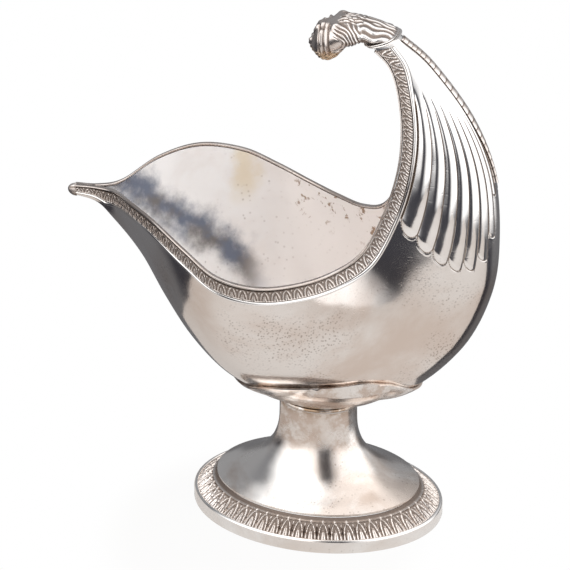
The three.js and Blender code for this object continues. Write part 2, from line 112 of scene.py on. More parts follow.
def guide_points(g, column):
    """X and Z in mm of the rim, from column 0, or of the keel, from column 3."""
    x = g[:, column] * BOWL_LENGTH - SPOUT_TO_FOOT_AXIS
    return np.stack([x, FOOT_HEIGHT + g[:, column + 1] * BOWL_HEIGHT], 1)


def sections(t, inset=0.0):
    """Cross-sections of the bowl at stations t, each in the plane through rim, keel and Y.
    Half of one is a superellipse quarter: out is half width times cos to a power, deep is
    depth times sin to the same power. The superellipse goes from 1.5, nearly pointed, at the
    spout to 2, an ellipse. run is the length along it from the rim. An inset gives the inner
    face, which is shallow at the spout."""
    g = catmull(GUIDE, t)
    rim, keel = guide_points(g, 0), guide_points(g, 3)
    half = g[:, 2] * BOWL_WIDTH / 2
    span = np.linalg.norm(keel - rim, axis=1)
    down = (keel - rim) / span[:, None]
    fill = lerp(0.2, 1, smooth(0, 2.5, t)) if inset else 1.0
    depth = np.maximum(span - inset, 0.3) * fill
    width = np.maximum(half - inset, 0.3 * half)
    power = (2 / lerp(1.5, 2, smooth(2, 6.5, t)))[:, None]
    angle = np.linspace(0, np.pi / 2, SECTION_POINTS)
    out = width[:, None] * np.clip(np.cos(angle), 0, 1) ** power
    deep = depth[:, None] * np.sin(angle) ** power
    step = np.hypot(np.diff(out), np.diff(deep))
    run = np.hstack([np.zeros((len(t), 1)), np.cumsum(step, 1)])
    return rim, down, out, deep, run


def skin(t, dist, lift=0.0, side=-1.0, inset=0.0, middle=0.2):
    """Points on the bowl's skin. Row i lies in the section at station t[i]; dist[i, j] is the
    distance from the rim along it; lift pushes the point off the skin along the section's
    normal. side is -1 for the near half and 1 for the far half, and middle is the least
    distance from the plane between them."""
    rim, down, out, deep, run = sections(t, inset)
    k = np.clip((run[:, None, :] < dist[:, :, None]).sum(-1), 1, run.shape[1] - 1)
    row = np.arange(len(t))[:, None]
    share = (dist - run[row, k - 1]) / np.maximum(run[row, k] - run[row, k - 1], 1e-9)
    n_out, n_deep = np.gradient(deep, axis=1), -np.gradient(out, axis=1)
    size = np.hypot(n_out, n_deep)
    n_out, n_deep = n_out / size, n_deep / size

    def read(table):
        return lerp(table[row, k - 1], table[row, k], share)

    across = read(out) + lift * read(n_out)
    below = read(deep) + lift * read(n_deep)
    x = rim[:, 0, None] + down[:, 0, None] * below
    z = rim[:, 1, None] + down[:, 1, None] * below
    return np.stack([x, side * np.maximum(across, middle), z], -1)


def half_length(t, inset=0.0):
    """Length of half a section, from the rim to the keel."""
    return sections(t, inset)[4][:, -1]


def band_scale(t):
    """The border strip narrows where the spout's cross-section gets short."""
    return np.minimum(1, half_length(t) / FULL_BAND_FROM)[:, None]


def rim_run():
    """Finely spaced stations, and the rim's real length up to each."""
    t = np.linspace(0, LAST, 4000)
    g = catmull(GUIDE, t)
    points = g[:, [0, 2, 1]] * [BOWL_LENGTH, BOWL_WIDTH / 2, BOWL_HEIGHT]
    steps = np.linalg.norm(np.diff(points, axis=0), axis=1)
    return t, np.concatenate([[0], np.cumsum(steps)])


def rim_stations(count):
    """Stations spaced evenly along the rim's real length, just short of its two ends."""
    t, length = rim_run()
    return np.interp(np.linspace(0.004, 0.996, count) * length[-1], length, t)


def unit_oval(count, squareness=2.0):
    """Across and up of points round a superellipse with half axes of 1: cos and sin of evenly
    spaced angles to the power 2 over squareness, with their signs. 2 makes it a circle."""
    angle = np.linspace(0, 2 * np.pi, count + 1)[None, :-1]
    c, s = np.cos(angle), np.sin(angle)
    power = 2 / squareness
    return np.sign(c) * abs(c) ** power, np.sign(s) * abs(s) ** power


def half_round(base, rise):
    """Shares of the way over a half-round moulding, and how far it swells at each: base plus
    rise times the height of a half circle."""
    share = np.linspace(0, 1, 15)[:, None]
    return share, base + rise * np.sqrt(np.clip(1 - (2 * share - 1) ** 2, 0, 1))


def mesh_piece(name, rings, materials, nodes, closed=False, relief=None, inner=None, sharp=50):
    """A closed surface from rings, an array of ring, point in the ring, and X, Y, Z. Each ring
    closes on itself; the rings close into a loop, or the two end rings are filled. relief is
    a value per point for the material, inner marks the points of the second material, and
    edges sharper than sharp degrees stay hard."""
    n, m = rings.shape[:2]
    co = rings.reshape(-1, 3).copy()
    co[:, 0] += SHIFT
    index = np.arange(n * m).reshape(n, m)
    a = index if closed else index[:-1]
    b = np.roll(index, -1, 0) if closed else index[1:]
    quads = np.stack([a, np.roll(a, -1, 1), np.roll(b, -1, 1), b], -1).reshape(-1, 4)
    # The sign of the volume tells whether the faces point outwards
    middle = co.mean(0)
    c = co[quads] - middle
    volume = (np.cross(c[:, 0], c[:, 1]) * c[:, 2]).sum() + (np.cross(c[:, 0], c[:, 2]) * c[:, 3]).sum()
    ends = [] if closed else [index[0][::-1], index[-1]]
    if volume < 0:
        quads = quads[:, ::-1]
        ends = [end[::-1] for end in ends]
    loops = np.concatenate([quads.ravel(), *ends]).astype(np.int32)
    starts = np.arange(len(quads)) * 4
    starts = np.concatenate([starts, len(quads) * 4 + np.arange(len(ends)) * m]).astype(np.int32)
    mesh = bpy.data.meshes.new(name)
    mesh.vertices.add(len(co))
    mesh.vertices.foreach_set("co", (co / 1000).astype(np.float32).ravel())
    mesh.loops.add(len(loops))
    mesh.loops.foreach_set("vertex_index", loops)
    mesh.polygons.add(len(starts))
    mesh.polygons.foreach_set("loop_start", starts)
    if inner is not None:
        which = np.zeros(len(starts), np.int32)
        which[: len(quads)] = inner.ravel()[quads].all(1)
        mesh.polygons.foreach_set("material_index", which)
    mesh.update(calc_edges=True)
    mesh.validate()
    for material in materials:
        mesh.materials.append(material)
    values = np.ones(n * m) if relief is None else relief.ravel()
    level = mesh.attributes.new("relief", "FLOAT", "POINT")
    level.data.foreach_set("value", values.astype(np.float32))
    mesh.shade_smooth()
    mesh.set_sharp_from_angle(angle=math.radians(sharp))
    piece = bpy.data.objects.new(name, mesh)
    bpy.context.scene.collection.objects.link(piece)
    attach(piece, "root")
    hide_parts(*nodes)


# Materials
def new_group(name, inputs, output):
    """An empty shader node group with named float inputs and one named float output."""
    group = bpy.data.node_groups.new(name, "ShaderNodeTree")
    for label, value in inputs.items():
        socket = group.interface.new_socket(label, in_out="INPUT", socket_type="NodeSocketFloat")
        socket.default_value = value
    group.interface.new_socket(output, in_out="OUTPUT", socket_type="NodeSocketFloat")
    start = group.nodes.new("NodeGroupInput")
    end = group.nodes.new("NodeGroupOutput")
    return group, start.outputs, end.inputs[output]


def add(tree, kind, settings=None, **values):
    """A new node with settings on the node, and values or links on its inputs. An input goes
    by its name with _ for each space, or by i and its number."""
    node = tree.nodes.new(kind)
    for key, value in (settings or {}).items():
        setattr(node, key, value)
    for key, value in values.items():
        numbered = key[0] == "i" and key[1:].isdigit()
        socket = node.inputs[int(key[1:]) if numbered else key.replace("_", " ")]
        if isinstance(value, bpy.types.NodeSocket):
            tree.links.new(value, socket)
        else:
            socket.default_value = value
    return node


def math_node(tree, operation, a, b=0.0):
    return add(tree, "ShaderNodeMath", {"operation": operation}, i0=a, i1=b).outputs[0]


def times(tree, a, b):
    return math_node(tree, "MULTIPLY", a, b)


def mix(tree, share, a, b):
    return add(tree, "ShaderNodeMix", {"data_type": "RGBA"}, i0=share, i6=a, i7=b).outputs[2]


def ramp(tree, value, start, end, low_value=0.0, high_value=1.0):
    """Smooth step from low_value at start to high_value at end; start may be the larger one."""
    return add(tree, "ShaderNodeMapRange", {"interpolation_type": "SMOOTHSTEP"}, Value=value,
               From_Min=start, From_Max=end, To_Min=low_value, To_Max=high_value).outputs[0]


def noise(tree, vector, scale, detail=4.0, rough=0.55, warp=0.0):
    return add(tree, "ShaderNodeTexNoise", Vector=vector, Scale=scale, Detail=detail,
               Roughness=rough, Distortion=warp).outputs["Fac"]


def place_on(tree):
    """Place on the object, in metres in the frame, since every piece sits at the origin."""
    return add(tree, "ShaderNodeTexCoord").outputs["Object"]


def patches_group():
    """Cloudy patches: noise at a given size, cut by a level and a softness."""
    tree, start, end = new_group("patches", {"Size": 20.0, "Level": 0.5, "Softness": 0.1}, "Mask")
    cloud = noise(tree, place_on(tree), start["Size"], 6.0, 0.6, 0.6)
    below = math_node(tree, "SUBTRACT", start["Level"], start["Softness"])
    above = math_node(tree, "ADD", start["Level"], start["Softness"])
    tree.links.new(ramp(tree, cloud, below, above), end)
    return tree


def specks_group():
    """Small dark pits in clusters: the centres of cells whose random value is low enough."""
    tree, start, end = new_group("specks", {"Size": 300.0, "Share": 0.3, "Radius": 0.3}, "Mask")
    place = place_on(tree)
    cells = add(tree, "ShaderNodeTexVoronoi", Vector=place, Scale=start["Size"])
    chosen = math_node(tree, "LESS_THAN", cells.outputs["Color"], start["Share"])
    near = ramp(tree, cells.outputs["Distance"], start["Radius"], 0.0)
    cluster = ramp(tree, noise(tree, place, 34.0, 5.0, 0.65), 0.44, 0.62)
    tree.links.new(times(tree, times(tree, chosen, near), cluster), end)
    return tree


# Turn and stretch of the two crossing directions of scratches
SCRATCH_WAYS = [((0.3, 0.8, 0.5), (60.0, 900.0, 700.0)), ((1.1, -0.4, 0.2), (900.0, 70.0, 800.0))]


def marks_group():
    """Height of handling marks: dents left by the hammer, less fine scratches that cross."""
    tree, start, end = new_group("marks", {"Dents": 1.0, "Scratches": 1.0}, "Height")
    place = place_on(tree)
    strokes = []
    for turn, stretch in SCRATCH_WAYS:
        along = add(tree, "ShaderNodeMapping", Vector=place, Rotation=turn, Scale=stretch)
        strokes.append(noise(tree, along.outputs[0], 1.0, 2.0))
    fine = ramp(tree, math_node(tree, "MAXIMUM", *strokes), 0.62, 0.74)
    dents = times(tree, noise(tree, place, 38.0, 2.0, 0.5), start["Dents"])
    scratches = times(tree, fine, start["Scratches"])
    tree.links.new(math_node(tree, "SUBTRACT", dents, scratches), end)
    return tree


def crowns_group():
    """Where an ornament or a lobe stands up: the relief that mesh_piece stores, 0 in the
    ground and 1 on the crown, as a smooth step from Low to High."""
    tree, start, end = new_group("crowns", {"Low": 0.15, "High": 0.75}, "Mask")
    relief = add(tree, "ShaderNodeAttribute", {"attribute_name": "relief"}).outputs["Fac"]
    tree.links.new(ramp(tree, relief, start["Low"], start["High"]), end)
    return tree


GROUPS = {"patches": patches_group(), "specks": specks_group(), "marks": marks_group(),
          "crowns": crowns_group()}


def use(tree, name, **values):
    return add(tree, "ShaderNodeGroup", {"node_tree": GROUPS[name]}, **values).outputs[0]


# Colour of the dark pits, and height in metres of the marks' bump
PIT_COLOR, MARK_HEIGHT = (0.16, 0.11, 0.08, 1), 0.0006


def silver(name, bright, tarnish, patch, speck, rough, dents, scratches, ground=None, metallic=1.0):
    """Metal that goes from bright to tarnish in patches, with dark specks, uneven roughness
    and a bump of dents and scratches. patch is size, level, softness and amount; speck is
    size, share, radius and depth; rough is low and high. ground is the oxide colour where
    relief is low, and the roughness is high there instead of in patches."""
    material = bpy.data.materials.new(name)
    material.use_nodes = True
    tree = material.node_tree
    shader = tree.nodes["Principled BSDF"]
    shader.inputs["Metallic"].default_value = metallic
    size, level, soft, amount = patch
    clouds = use(tree, "patches", Size=size, Level=level, Softness=soft)
    color = mix(tree, times(tree, clouds, amount), bright, tarnish)
    speck_size, share, radius, depth = speck
    dots = use(tree, "specks", Size=speck_size, Share=share, Radius=radius)
    color = mix(tree, times(tree, dots, depth), color, PIT_COLOR)
    low_rough, high_rough = rough
    if ground:
        color = mix(tree, use(tree, "crowns", Low=0.15, High=0.75), ground, color)
        roughness = add(tree, "ShaderNodeMapRange", Value=use(tree, "crowns", Low=0.1, High=0.8),
                        To_Min=high_rough, To_Max=low_rough).outputs[0]
    else:
        dull = use(tree, "patches", Size=size * 2.3, Level=0.5, Softness=0.16)
        roughness = ramp(tree, dull, 0, 1, low_rough, high_rough)
    tree.links.new(color, shader.inputs["Base Color"])
    tree.links.new(roughness, shader.inputs["Roughness"])
    height = use(tree, "marks", Dents=dents, Scratches=scratches)
    shape = add(tree, "ShaderNodeBump", Height=height, Strength=1.0, Distance=MARK_HEIGHT)
    tree.links.new(shape.outputs[0], shader.inputs["Normal"])
    return material


BRIGHT, WARM = (0.86, 0.84, 0.82, 1), (0.68, 0.60, 0.54, 1)
OXIDE, GROOVE_OXIDE = (0.26, 0.21, 0.18, 1), (0.22, 0.16, 0.12, 1)
polished = silver("polished_silver", BRIGHT, WARM, patch=(16, 0.55, 0.12, 0.7),
                  speck=(900, 0.25, 0.4, 0.4), rough=(0.10, 0.2), dents=0.5, scratches=0.008)
outside = silver("outside_silver", (0.76, 0.71, 0.67, 1), (0.62, 0.51, 0.44, 1),
                 patch=(15, 0.5, 0.1, 0.85), speck=(900, 0.85, 0.5, 0.75), rough=(0.12, 0.55),
                 dents=0.8, scratches=0.01, ground=GROOVE_OXIDE)
# The inside: frosted silver, near white and only a quarter metallic, partly a painted highlight that stands
# in for the bright reflections inside the bowl
inside = silver("inside_silver", (0.98, 0.97, 0.96, 1), (0.86, 0.81, 0.78, 1),
                patch=(24, 0.58, 0.1, 0.6), speck=(600, 0.3, 0.45, 0.5), rough=(0.28, 0.42),
                dents=1.2, scratches=0.01, metallic=0.25)
ring_silver = silver("ring_silver", (0.9, 0.87, 0.84, 1), WARM, patch=(30, 0.55, 0.12, 0.4),
                     speck=(700, 0.1, 0.4, 0.4), rough=(0.22, 0.3), dents=0.3, scratches=0.008)
edge_silver = silver("edge_silver", (0.70, 0.64, 0.60, 1), (0.50, 0.42, 0.37, 1),
                     patch=(40, 0.5, 0.15, 0.8), speck=(700, 0.2, 0.4, 0.5), rough=(0.2, 0.32),
                     dents=0.4, scratches=0.008)
relief_silver = silver("relief_silver", (0.84, 0.78, 0.74, 1), WARM, patch=(30, 0.5, 0.12, 0.6),
                       speck=(500, 0.1, 0.3, 0.4), rough=(0.24, 0.55), dents=0.3,
                       scratches=0.01, ground=OXIDE)
cast = silver("cast_silver", (0.84, 0.80, 0.77, 1), (0.6, 0.5, 0.44, 1),
              patch=(40, 0.5, 0.12, 0.6), speck=(500, 0.12, 0.3, 0.5), rough=(0.24, 0.55),
              dents=0.4, scratches=0.01, ground=OXIDE)
foot = silver("foot_silver", (0.84, 0.81, 0.78, 1), (0.60, 0.50, 0.43, 1),
              patch=(26, 0.52, 0.1, 0.8), speck=(800, 0.4, 0.4, 0.5), rough=(0.16, 0.28),
              dents=0.5, scratches=0.008)

# Stains and other marks, among them a painted reflection inside the bowl. Each pair of places,
# in metres in the frame, is where a mark begins to show and where it shows in full
PINK, PINK_X = (0.93, 0.82, 0.75, 1), (-0.032, 0.0)
# Painted reflection: a dark blue-grey band painted on the far inside wall, standing in for a dark
# reflection there
REFLECTION_BLUE, REFLECTION_GREY = (0.08, 0.11, 0.18, 1), (0.11, 0.095, 0.09, 1)
REFLECTION_SLANT, REFLECTION_CENTRE, REFLECTION_EDGE, REFLECTION_X = 0.707, 0.0472, (0.0085, 0.0004), (-0.010, -0.026)
YELLOW, YELLOW_CENTRE = (0.80, 0.66, 0.42, 1), -0.0255
YELLOW_EDGE, YELLOW_Z = (0.009, 0.0), (0.108, 0.122)
BLOT, BLOT_X, BLOT_LOW, BLOT_HIGH = (0.30, 0.17, 0.09, 1), (-0.010, -0.002), (0.102, 0.112), (0.135, 0.124)
HIGH_BACK_PALE, HIGH_BACK_Z = (0.92, 0.90, 0.88, 1), (0.10, 0.15)
NECK_BROWN, NECK_Z = (0.54, 0.43, 0.36, 1), (0.028, 0.036)
SEAM_BROWN, SEAM_LOW, SEAM_HIGH = (0.30, 0.20, 0.12, 1), (0.0455, 0.0505), (0.0545, 0.052)
GILDING, MUZZLE_Z = (0.62, 0.43, 0.24, 1), (0.2095, 0.2065)


def over_color(material):
    """What a stain on a finished material starts from: its node tree, its colour input, what
    feeds that so far, and the place on the object, whole and as X, Y and Z."""
    tree = material.node_tree
    socket = tree.nodes["Principled BSDF"].inputs["Base Color"]
    color = socket.links[0].from_socket
    place = place_on(tree)
    spot = add(tree, "ShaderNodeSeparateXYZ", Vector=place).outputs
    return tree, socket, color, place, spot


def inside_stains_and_reflection(material):
    """What the inside of the bowl shows besides: a pink half towards the back, a painted
    reflection, a blue-grey band that runs down the far wall from the spout, a yellow patch, all
    with ragged edges, and brown blots by the rim."""
    tree, socket, color, place, spot = over_color(material)
    x, z = spot["X"], spot["Z"]
    cloud = math_node(tree, "SUBTRACT", noise(tree, place, 48.0, 8.0, 0.62), 0.5)
    ragged = times(tree, cloud, 0.022)
    ragged_x = math_node(tree, "ADD", x, ragged)

    def away(value, centre):
        return math_node(tree, "ABSOLUTE", math_node(tree, "SUBTRACT", value, centre))

    color = mix(tree, times(tree, ramp(tree, ragged_x, *PINK_X), 0.55), color, PINK)
    # The painted reflection: a dark blue-grey band slanting across the far inside wall
    slant = times(tree, math_node(tree, "ADD", x, z), REFLECTION_SLANT)
    reflection_band = ramp(tree, away(math_node(tree, "ADD", slant, ragged), REFLECTION_CENTRE), *REFLECTION_EDGE)
    reflection_band = times(tree, reflection_band, ramp(tree, x, *REFLECTION_X))
    reflection_tone = mix(tree, ramp(tree, noise(tree, place, 60.0, 3.0), 0.4, 0.62), REFLECTION_BLUE, REFLECTION_GREY)
    color = mix(tree, times(tree, reflection_band, 0.9), color, reflection_tone)
    yellow = times(tree, ramp(tree, away(ragged_x, YELLOW_CENTRE), *YELLOW_EDGE), ramp(tree, z, *YELLOW_Z))
    color = mix(tree, times(tree, yellow, 0.6), color, YELLOW)
    near_rim = times(tree, ramp(tree, x, *BLOT_X), ramp(tree, z, *BLOT_LOW))
    near_rim = times(tree, near_rim, ramp(tree, z, *BLOT_HIGH))
    blots = times(tree, ramp(tree, noise(tree, place, 210.0, 5.0, 0.65), 0.565, 0.62), near_rim)
    tree.links.new(mix(tree, times(tree, blots, 0.9), color, BLOT), socket)


def lighten_high_back(material):
    """Higher up, the crowns of the back turn towards a pale colour, but the grooves between its
    lobes stay dark."""
    tree, socket, color, place, spot = over_color(material)
    cloud = math_node(tree, "SUBTRACT", noise(tree, place, 30.0, 5.0), 0.5)
    height = math_node(tree, "ADD", spot["Z"], times(tree, cloud, 0.04))
    # Paler towards the top of the back, on the crowns only
    share = ramp(tree, height, *HIGH_BACK_Z, 0.0, 0.95)
    share = times(tree, share, use(tree, "crowns", Low=0.3, High=0.8))
    tree.links.new(mix(tree, share, color, HIGH_BACK_PALE), socket)


def neck_stains(material):
    """Brown stains on the neck and the cradle plate, and darker ones round their seam."""
    tree, socket, color, place, spot = over_color(material)
    height = spot["Z"]
    cloud = noise(tree, place, 120.0, 6.0, 0.7)
    neck = times(tree, ramp(tree, height, *NECK_Z), ramp(tree, cloud, 0.42, 0.6, 0.1, 0.85))
    color = mix(tree, neck, color, NECK_BROWN)
    seam = times(tree, ramp(tree, height, *SEAM_LOW), ramp(tree, height, *SEAM_HIGH))
    seam = times(tree, seam, ramp(tree, cloud, 0.4, 0.56))
    tree.links.new(mix(tree, times(tree, seam, 0.85), color, SEAM_BROWN), socket)


def muzzle_gilding(material):
    """Brownish gilding left on the animal's muzzle, the lowest part of the head."""
    tree, socket, color, place, spot = over_color(material)
    ragged = times(tree, noise(tree, place, 260.0, 4.0), 0.003)
    share = ramp(tree, math_node(tree, "ADD", spot["Z"], ragged), *MUZZLE_Z, 0.0, 0.75)
    tree.links.new(mix(tree, share, color, GILDING), socket)


inside_stains_and_reflection(inside)
lighten_high_back(outside)
neck_stains(foot)
muzzle_gilding(cast)


# The bowl. Stations lie this far apart along the skin at the lobe by the rim, and at the
# one by the spine.
STATION_LENGTHS = (19, 28)
GROOVE_DEPTH, GROOVE_WIDTH = 0.13, 0.24
# Height, width and distance of the lip round a lobe's end, and points across a lobe
LIP_HEIGHT, LIP_WIDTH, LIP_AWAY, LOBE_POINTS = 0.1, 0.3, 0.5, 14
# Stations where the spacing of the bowl's rings changes, and the rings in each span
SPAN_ENDS = [0, 4.5, LOBES_END - 0.1, 11.75, 12.9, 14.6, LAST]
SPAN_RINGS = [55, 55, 95, 83, 39, 15]


def lobe_relief(t, dist, edges):
    """Height of the lobes over the sheet in mm, and where the thin grooves between them run.
    With q the distance to a lobe's outline as a share of its half width, up to 1 on the
    crown, the lobe stands 2q - q^2 of its full rise. The lower end of each is a half round
    with a low lip round it."""
    lobe = np.clip((dist[:, :, None] >= edges[:, None, 1:-1]).sum(-1), 0, LOBES - 1)
    row = np.arange(len(t))[:, None]
    start, stop = edges[row, lobe], edges[row, lobe + 1]
    width = np.maximum(stop - start, 0.1)
    order = lobe / (LOBES - 1)
    per_station = lerp(*STATION_LENGTHS, order)
    end = LOBES_END + END_CLIMB * order**3 + width / 2 / per_station
    beyond = np.maximum((end - t[:, None]) * per_station, 0)
    edge = width / 2 - np.hypot(dist - (start + stop) / 2, beyond)
    q = np.clip(edge / (width / 2), 0, 1)
    fade = (1 - smooth(LOBES_START - 0.9, LOBES_START, t))[:, None] * (t[:, None] > LOBES_END - 0.4)
    fade = fade * (dist > edges[:, :1] - 0.2) * (dist < edges[:, -1:] + 0.2)
    groove = bump(edge, GROOVE_WIDTH) * fade
    lip = bump(edge + LIP_AWAY, LIP_WIDTH) * (beyond > 0) * fade
    rise = LOBE_RISE * width * (2 * q - q**2) * fade
    return rise - GROOVE_DEPTH * groove + LIP_HEIGHT * lip, groove


def bowl_shell():
    """Rings of the sheet at stations t, which lie closest where the lobes end: outer face from
    the near rim round the keel to the far rim, then the inner face back. The lobes raise the
    outer face of the back."""
    t = np.interp(np.arange(sum(SPAN_RINGS) + 1), np.cumsum([0, *SPAN_RINGS]), SPAN_ENDS)
    scale = band_scale(t)
    length = half_length(t)[:, None]
    first = CAP_HEIGHT * scale
    band_end = (BAND_WIDTH + 0.4) * scale
    spine_edge = length - SPINE_HALF * scale
    spread = 1 - (1 - np.arange(LOBES + 1) / LOBES) ** LOBE_SPREAD
    edges = lerp(band_end, spine_edge, spread[None, :])
    across = (1 - np.cos(np.pi * np.arange(LOBE_POINTS) / LOBE_POINTS)) / 2
    lobed = lerp(edges[:, :-1, None], edges[:, 1:, None], across).reshape(len(t), -1)
    lobed = np.hstack([first, lobed, spine_edge, lerp(spine_edge, length, 0.5)])
    even = lerp(first, length, np.arange(lobed.shape[1])[None, :] / lobed.shape[1])
    dist = lerp(lobed, even, (1 - smooth(1, 7, t))[:, None])
    rise, line = lobe_relief(t, dist, edges)
    keel = skin(t, length, middle=0)
    inner_length = half_length(t, SHEET)[:, None]
    inner_first = np.minimum(first, inner_length / 2)
    inner = lerp(inner_first, inner_length, np.linspace(0, 1, 26)[None, :])
    near = skin(t, dist, rise, -1, middle=0)
    far = skin(t, dist, rise, 1, middle=0)
    in_near = skin(t, inner, 0, -1, SHEET, middle=0)
    in_far = skin(t, inner[:, :-1], 0, 1, SHEET, middle=0)
    rings = np.concatenate([near, keel, far[:, ::-1], in_far, in_near[:, ::-1]], 1)
    outer_count = 2 * dist.shape[1] + 1
    is_inner = np.zeros(rings.shape[:2], bool)
    is_inner[:, outer_count:] = True
    relief = np.ones(rings.shape[:2])
    relief[:, : dist.shape[1]] -= line
    relief[:, dist.shape[1] + 1: outer_count] -= line[:, ::-1]
    mesh_piece("bowl", rings, [outside, inside], ["bowl_shell"], relief=relief,
               inner=is_inner)


def leaf_height(c, v):
    """Height of the leaf ornament in one cell, 0 to 1. c runs across the cell from -0.5 to
    0.5, v from the open foot of the arch at 0 to its point at 1. A pointed arch encloses a
    small leaf with a midrib; paired stems with a bud stand between arches. The half widths
    of arch and leaf are powers of one minus a power of v."""
    c, v = np.broadcast_arrays(c, v)
    arch = 0.36 * np.clip(1 - (v / 0.92) ** 2.2, 0, 1) ** 0.6
    outline = bump(np.abs(c) - arch, 0.06) * (1 - smooth(0.93, 0.99, v))
    leaf_half = 0.19 * np.clip(1 - v / 0.66, 0, 1) ** 0.7
    leaf = smooth(-0.03, 0.03, leaf_half - np.abs(c)) * (0.85 - 0.5 * bump(c, 0.03))
    stem = bump(np.abs(c) - 0.455, 0.028) * (1 - smooth(0.7, 0.8, v)) * 0.8
    bud = bump((0.5 - np.abs(c)) / 0.07, 1) * bump((v - 0.84) / 0.08, 1)
    border = np.maximum(1 - smooth(0.0, 0.06, v), smooth(0.95, 0.99, v)) * 0.7
    return np.maximum.reduce([outline, leaf, stem, bud, border])


def rim_frieze(name, side):
    """Leaf strip: rings follow the rim, each crosses the strip from top to tip with the leaf
    height added to the lift, and returns behind it."""
    leaves = round(rim_run()[1][-1] / LEAF_PITCH)
    t = rim_stations(leaves * RIM_LEAF_STEPS + 1)
    scale = band_scale(t)
    top = CAP_HEIGHT * scale + 0.3
    tip = (BAND_WIDTH - WIRE_WIDTH) * scale - 0.4
    v = np.linspace(0, 1, 19)[None, :]
    cell = (np.arange(len(t)) / RIM_LEAF_STEPS % 1 - 0.5)[:, None]
    relief = leaf_height(cell, 1 - v)
    front = skin(t, lerp(top, tip, v), 0.5 + 0.5 * relief, side)
    back = skin(t, lerp(tip, top, np.array([[0.0, 1.0]])), 0.3, side)
    relief = np.hstack([relief, np.zeros((len(t), 2))])
    mesh_piece(f"leaf_strip_{name}", np.concatenate([front, back], 1), [relief_silver],
               [f"rim_frieze_{name}"], relief=relief, sharp=80)


def swept(name, node, side, centre, half_dist, centre_lift, half_lift, material, squareness=2.0):
    """A moulding along the rim with a superellipse profile in distance and lift. What lies
    before distance 0 stands above the rim."""
    t = rim_stations(420)
    scale = band_scale(t)
    c, s = unit_oval(16, squareness)
    dist = (centre + half_dist * c) * scale
    lift = centre_lift + half_lift * s * lerp(0.6, 1, scale)
    rings = skin(t, np.maximum(dist, 0), lift, side)
    rings[:, :, 2] -= np.minimum(dist, 0)
    mesh_piece(name, rings, [material], [node])


# How far the nose starts behind the spout's end, its length and half width, and how far it
# stands out above and below
NOSE_BEHIND, NOSE_LENGTH, NOSE_HALF, NOSE_OVER = 1.6, 3.6, 1.9, 0.35


def spout_tip():
    """Rounded nose: ovals along -X that shrink as the root of one minus share squared. Ridges
    near the top, the bottom and the tip swell it a little, with grooves inside the first two."""
    rim, down, _, _, run = sections(np.array([0.0]))
    length = run[0, -1]
    centre = rim[0] + down[0] * length / 2
    share = np.sin(np.linspace(0, 1, 18) * np.pi / 2)[:, None]
    size = np.sqrt(1 - share**2 * 0.996)
    c, s = unit_oval(40)
    ridge = np.maximum(bump(np.abs(s) - 0.86, 0.12), bump(share - 0.93, 0.12))
    relief = 0.45 + 0.55 * ridge - 0.35 * bump(np.abs(s) - 0.62, 0.12)
    half = (NOSE_HALF + 0.25 * (relief - 0.6)) * size
    x = centre[0] + NOSE_BEHIND - NOSE_LENGTH * share + 0 * c
    rings = np.stack([x, half * c, centre[1] + (length / 2 + NOSE_OVER) * size * s], -1)
    mesh_piece("spout_nose", rings, [relief_silver], ["spout_tip"],
               relief=np.clip(relief, 0, 1))


SPINE_SCALES, THROAT_BULGE = 22, 2.8


def spine_strip():
    """Scales along the spine: a low rounded strip whose height repeats along it."""
    t = np.linspace(SPINE_FROM, LAST - 0.06, 420)
    length = half_length(t)[:, None]
    half = lerp(0.5, SPINE_HALF - 0.3, smooth(SPINE_FROM, SPINE_FROM + 1.2, t))[:, None]
    v = np.linspace(-1, 1, 17)[None, :]
    phase = (np.linspace(0, SPINE_SCALES, len(t))[:, None] + 0.35 * np.abs(v)) % 1
    scale_height = smooth(0, 0.25, phase) * (1 - 0.5 * phase) - 0.4 * bump(v, 0.12)
    relief = np.clip(scale_height, 0, 1)
    lift = 0.55 + (0.45 + 0.35 * relief) * (1 - v**2)
    near = skin(t, length - half * np.abs(v[:, :8]), lift[:, :8], -1, middle=0)
    far = skin(t, length - half * np.abs(v[:, 8:]), lift[:, 8:], 1, middle=0)
    back = [skin(t, length - half * k, 0.3, s, middle=0) for k, s in ((1, 1), (0, 1), (1, -1))]
    rings = np.concatenate([near, far, *back], 1)
    relief = np.hstack([relief, np.zeros((len(t), 3))])
    mesh_piece("spine_scales", rings, [relief_silver], ["spine_strip"],
               relief=relief, sharp=80)


def throat_plate():
    """Tongue under the neck: it bulges as one minus the square of v, the share of the way
    from the middle of the channel to its sides."""
    t = np.linspace(THROAT_FROM, LAST - 0.03, 40)
    rim, down, out, _, _ = sections(t, SHEET)
    share = smooth(THROAT_FROM - 0.3, THROAT_FROM + 0.9, t)[:, None]
    half = (out[:, :1] - 0.6) * share
    v = np.linspace(-1, 1, 33)[None, :]
    v = np.hstack([v, v[:, ::-1]])
    thick = np.hstack([np.zeros((1, 33)), np.ones((1, 33))])
    deep = thick - THROAT_BULGE * share * (1 - v**2)
    rings = np.stack([rim[:, :1] + down[:, :1] * deep, half * v, rim[:, 1:] + down[:, 1:] * deep], -1)
    mesh_piece("throat_tongue", rings, [polished], ["throat_plate"])


# Collar, neck and head. The collar stands on the bowl's last section, from the rim's end,
# COLLAR_FOOT, across to the keel's end, COLLAR_BACK, and the head rises from it along LEAN.
end_row = catmull(GUIDE, np.array([float(LAST)]))
COLLAR_FOOT, COLLAR_BACK = guide_points(end_row, 0)[0], guide_points(end_row, 3)[0]
COLLAR_HALF = end_row[0, 2] * BOWL_WIDTH / 2 + 0.8
ACROSS = (COLLAR_BACK - COLLAR_FOOT) / np.linalg.norm(COLLAR_BACK - COLLAR_FOOT)
LEAN_ANGLE = math.radians(27)
LEAN = np.array([-math.cos(LEAN_ANGLE), math.sin(LEAN_ANGLE)])
HEAD_LENGTH = 22.0
HEAD_ROOT = (COLLAR_FOOT + COLLAR_BACK) / 2 + LEAN * 2.7
